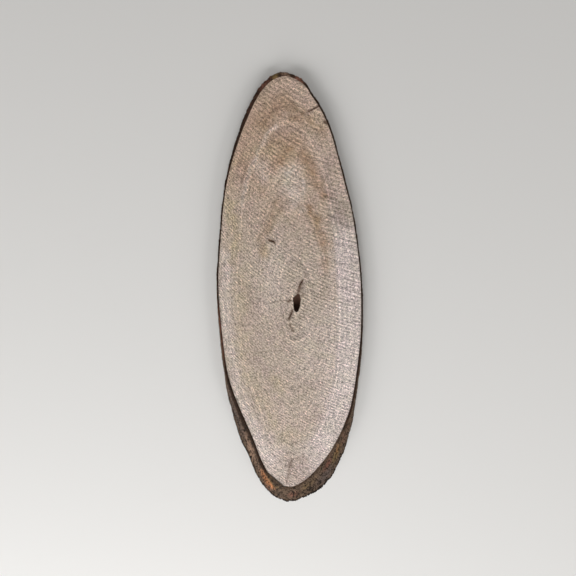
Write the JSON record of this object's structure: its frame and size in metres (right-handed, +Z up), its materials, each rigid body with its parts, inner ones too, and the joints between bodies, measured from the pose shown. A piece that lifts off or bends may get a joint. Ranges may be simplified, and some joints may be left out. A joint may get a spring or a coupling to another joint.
{
  "type": "wood slice",
  "caption": "Long oval slice of a log, sawn flat on both faces, with sloping bark left on all round and a small pith hole.",
  "frame": {"origin": "middle of the slice's box, on the underside that it rests on", "axes": "+Z up through the thickness, +Y along the length towards the end where the bark tucks under, +X across the width"},
  "size_m": [0.1364, 0.401, 0.006],
  "materials": {
    "sawn_wood": "rough sawn, unfinished, pale with faint growth rings, curved saw marks and warm stains",
    "bark": "rough dry bark, grey-brown outside, darker where it is cut, with orange patches of inner bark"
  },
  "bodies": {
    "root": {"wood": "sawn_wood", "bark": "bark"}
  },
  "joints": []
}
